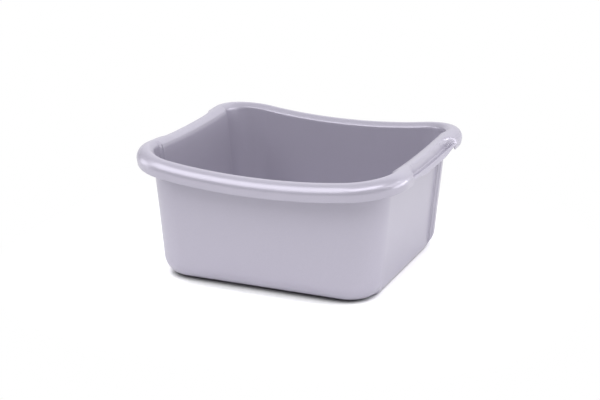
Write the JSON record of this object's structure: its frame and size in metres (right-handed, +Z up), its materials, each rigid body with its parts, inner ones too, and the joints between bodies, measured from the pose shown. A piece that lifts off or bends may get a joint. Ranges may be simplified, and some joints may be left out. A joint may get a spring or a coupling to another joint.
{
  "type": "washing up bowl",
  "caption": "Rectangular plastic washing up bowl with a rolled rim that dips along the long sides and a scooped grip at each short side.",
  "frame": {"origin": "centre of the base, on the surface that the bowl stands on", "axes": "+X along the long sides, towards the right grip; +Y towards the back; +Z up, out of the bowl's mouth"},
  "size_m": [0.3596, 0.3284, 0.1654],
  "materials": {
    "moulded_polypropylene": "injection-moulded polypropylene with silver-grey metallic pigment, semi-gloss"
  },
  "bodies": {
    "root": {"base": "moulded_polypropylene", "front_wall": "moulded_polypropylene", "back_wall": "moulded_polypropylene", "left_panel": "moulded_polypropylene", "right_panel": "moulded_polypropylene", "front_rim": "moulded_polypropylene", "back_rim": "moulded_polypropylene", "left_grip": "moulded_polypropylene", "right_grip": "moulded_polypropylene"}
  },
  "joints": []
}
